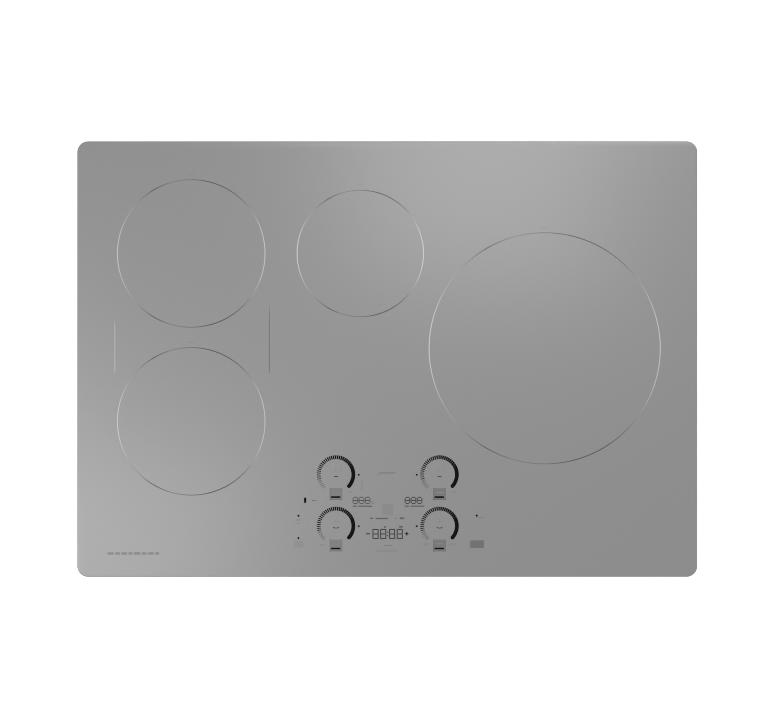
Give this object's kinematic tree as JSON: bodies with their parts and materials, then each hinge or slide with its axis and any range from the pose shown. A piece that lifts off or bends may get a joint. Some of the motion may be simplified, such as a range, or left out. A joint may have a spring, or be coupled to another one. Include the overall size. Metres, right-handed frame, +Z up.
{
  "type": "electric induction cooktop",
  "caption": "Drop-in induction cooktop: flat silver glass with printed zones and touch dials over a shallow steel case with floating coils, fans and hold-down clamps.",
  "frame": {"origin": "under the middle of the glass, on the plane of the case's feet", "axes": "+X to the cook's right, +Y to the rear, +Z up; the touch controls are at -Y"},
  "size_m": [0.757, 0.532, 0.12],
  "materials": {
    "silver_glass": "gloss",
    "black_foam": "matte",
    "black_silicone": "satin",
    "zinc_steel": "satin",
    "zinc_screw": "satin",
    "black_steel": "satin",
    "sheet_aluminium": "satin",
    "plate_aluminium": "matte",
    "black_moulding": "matte",
    "grey_moulding": "matte",
    "white_moulding": "satin",
    "green_board": "satin",
    "display_block": "gloss",
    "light_guide": "gloss",
    "spring_steel": "polished",
    "copper_litz": "satin",
    "ferrite_bar": "matte",
    "mica_sheet": "matte",
    "white_ceramic": "satin",
    "film_block": "satin",
    "lead_sleeve": "satin",
    "ribbon_sheath": "satin",
    "rubber_pad": "matte",
    "nickel_brass": "satin"
  },
  "bodies": {
    "base": {"glass_top": "silver_glass", "edge_gasket": "black_foam", "silicone_bond": "black_silicone", "support_frame": "black_steel", "case_screws": "zinc_screw", "base_pan": "zinc_steel", "rating_plate": "plate_aluminium", "coil_deck": "sheet_aluminium", "deck_rails": "zinc_steel", "touch_board_tray": "black_moulding", "touch_board": "green_board", "timer_display": "display_block", "zone_displays": "display_block", "dial_light_guides": "light_guide", "touch_springs": "spring_steel", "control_ribbon_cable": "ribbon_sheath", "board_standoffs": "white_moulding", "inverter_boards": "green_board", "heatsinks": "sheet_aluminium", "power_transistors": "black_moulding", "film_capacitors": "film_block", "filter_board": "green_board", "filter_choke": "copper_litz", "terminal_block": "white_moulding", "conduit_gland": "nickel_brass", "gland_locknut": "nickel_brass", "fan_frames": "black_moulding", "air_ducts": "grey_moulding", "hold_down_brackets": "zinc_steel", "coil_leads": "lead_sleeve", "left_rear_coil_springs": "spring_steel", "left_front_coil_springs": "spring_steel", "center_rear_coil_springs": "spring_steel", "right_coil_springs": "spring_steel"},
    "left_rear_coil": {"left_rear_coil_carrier": "black_moulding", "left_rear_coil_ferrites": "ferrite_bar", "left_rear_coil_winding": "copper_litz", "left_rear_coil_insulation": "mica_sheet"},
    "left_rear_sensor": {"left_rear_temperature_sensor": "white_ceramic"},
    "left_front_coil": {"left_front_coil_carrier": "black_moulding", "left_front_coil_ferrites": "ferrite_bar", "left_front_coil_winding": "copper_litz", "left_front_coil_insulation": "mica_sheet"},
    "left_front_sensor": {"left_front_temperature_sensor": "white_ceramic"},
    "center_rear_coil": {"center_rear_coil_carrier": "black_moulding", "center_rear_coil_ferrites": "ferrite_bar", "center_rear_coil_winding": "copper_litz", "center_rear_coil_insulation": "mica_sheet"},
    "center_rear_sensor": {"center_rear_temperature_sensor": "white_ceramic"},
    "right_coil": {"right_coil_carrier": "black_moulding", "right_coil_ferrites": "ferrite_bar", "right_coil_winding": "copper_litz", "right_coil_insulation": "mica_sheet"},
    "right_sensor": {"right_temperature_sensor": "white_ceramic"},
    "fan_rotor_left": {"fan_rotor_left": "black_moulding"},
    "clamp_pad_left": {"clamp_pad_left": "rubber_pad"},
    "clamp_screw_left": {"clamp_screw_left": "zinc_screw"},
    "fan_rotor_right": {"fan_rotor_right": "black_moulding"},
    "clamp_pad_right": {"clamp_pad_right": "rubber_pad"},
    "clamp_screw_right": {"clamp_screw_right": "zinc_screw"}
  },
  "joints": [
    {"name": "left_rear_coil_float", "type": "slide", "parent": "base", "child": "left_rear_coil", "axis": [0, 0, 1], "range_m": [-0.004, 0], "stiffness_N_per_m": 4500, "springref_m": 0.006, "deforming": ["left_rear_coil_springs", "coil_leads"]},
    {"name": "left_rear_sensor_press", "type": "slide", "parent": "left_rear_coil", "child": "left_rear_sensor", "axis": [0, 0, 1], "range_m": [-0.003, 0], "stiffness_N_per_m": 150, "springref_m": 0.006, "deforming": ["left_rear_coil_springs"]},
    {"name": "left_front_coil_float", "type": "slide", "parent": "base", "child": "left_front_coil", "axis": [0, 0, 1], "range_m": [-0.004, 0], "stiffness_N_per_m": 4500, "springref_m": 0.006, "deforming": ["left_front_coil_springs", "coil_leads"]},
    {"name": "left_front_sensor_press", "type": "slide", "parent": "left_front_coil", "child": "left_front_sensor", "axis": [0, 0, 1], "range_m": [-0.003, 0], "stiffness_N_per_m": 150, "springref_m": 0.006, "deforming": ["left_front_coil_springs"]},
    {"name": "center_rear_coil_float", "type": "slide", "parent": "base", "child": "center_rear_coil", "axis": [0, 0, 1], "range_m": [-0.004, 0], "stiffness_N_per_m": 4500, "springref_m": 0.006, "deforming": ["center_rear_coil_springs", "coil_leads"]},
    {"name": "center_rear_sensor_press", "type": "slide", "parent": "center_rear_coil", "child": "center_rear_sensor", "axis": [0, 0, 1], "range_m": [-0.003, 0], "stiffness_N_per_m": 150, "springref_m": 0.006, "deforming": ["center_rear_coil_springs"]},
    {"name": "right_coil_float", "type": "slide", "parent": "base", "child": "right_coil", "axis": [0, 0, 1], "range_m": [-0.004, 0], "stiffness_N_per_m": 9000, "springref_m": 0.006, "deforming": ["right_coil_springs", "coil_leads"]},
    {"name": "right_sensor_press", "type": "slide", "parent": "right_coil", "child": "right_sensor", "axis": [0, 0, 1], "range_m": [-0.003, 0], "stiffness_N_per_m": 150, "springref_m": 0.006, "deforming": ["right_coil_springs"]},
    {"name": "fan_rotor_left_spin", "type": "hinge", "parent": "base", "child": "fan_rotor_left", "pos_m": [-0.235, -0.18, 0.014], "axis": [0, 0, 1], "continuous": true},
    {"name": "clamp_pad_left_lift", "type": "slide", "parent": "base", "child": "clamp_pad_left", "axis": [0, 0, 1], "range_m": [0, 0.025]},
    {"name": "clamp_screw_left_turn", "type": "hinge", "parent": "clamp_pad_left", "child": "clamp_screw_left", "pos_m": [-0.371, 0, 0.01], "axis": [0, 0, 1], "range_deg": [0, 9000]},
    {"name": "fan_rotor_right_spin", "type": "hinge", "parent": "base", "child": "fan_rotor_right", "pos_m": [0.235, -0.18, 0.014], "axis": [0, 0, 1], "continuous": true},
    {"name": "clamp_pad_right_lift", "type": "slide", "parent": "base", "child": "clamp_pad_right", "axis": [0, 0, 1], "range_m": [0, 0.025]},
    {"name": "clamp_screw_right_turn", "type": "hinge", "parent": "clamp_pad_right", "child": "clamp_screw_right", "pos_m": [0.371, 0, 0.01], "axis": [0, 0, 1], "range_deg": [0, 9000]}
  ],
  "couplings": [
    {"joint": "clamp_screw_left_turn", "follows": "clamp_pad_left_lift", "rad_per_m": 6283.2},
    {"joint": "clamp_screw_right_turn", "follows": "clamp_pad_right_lift", "rad_per_m": 6283.2}
  ]
}
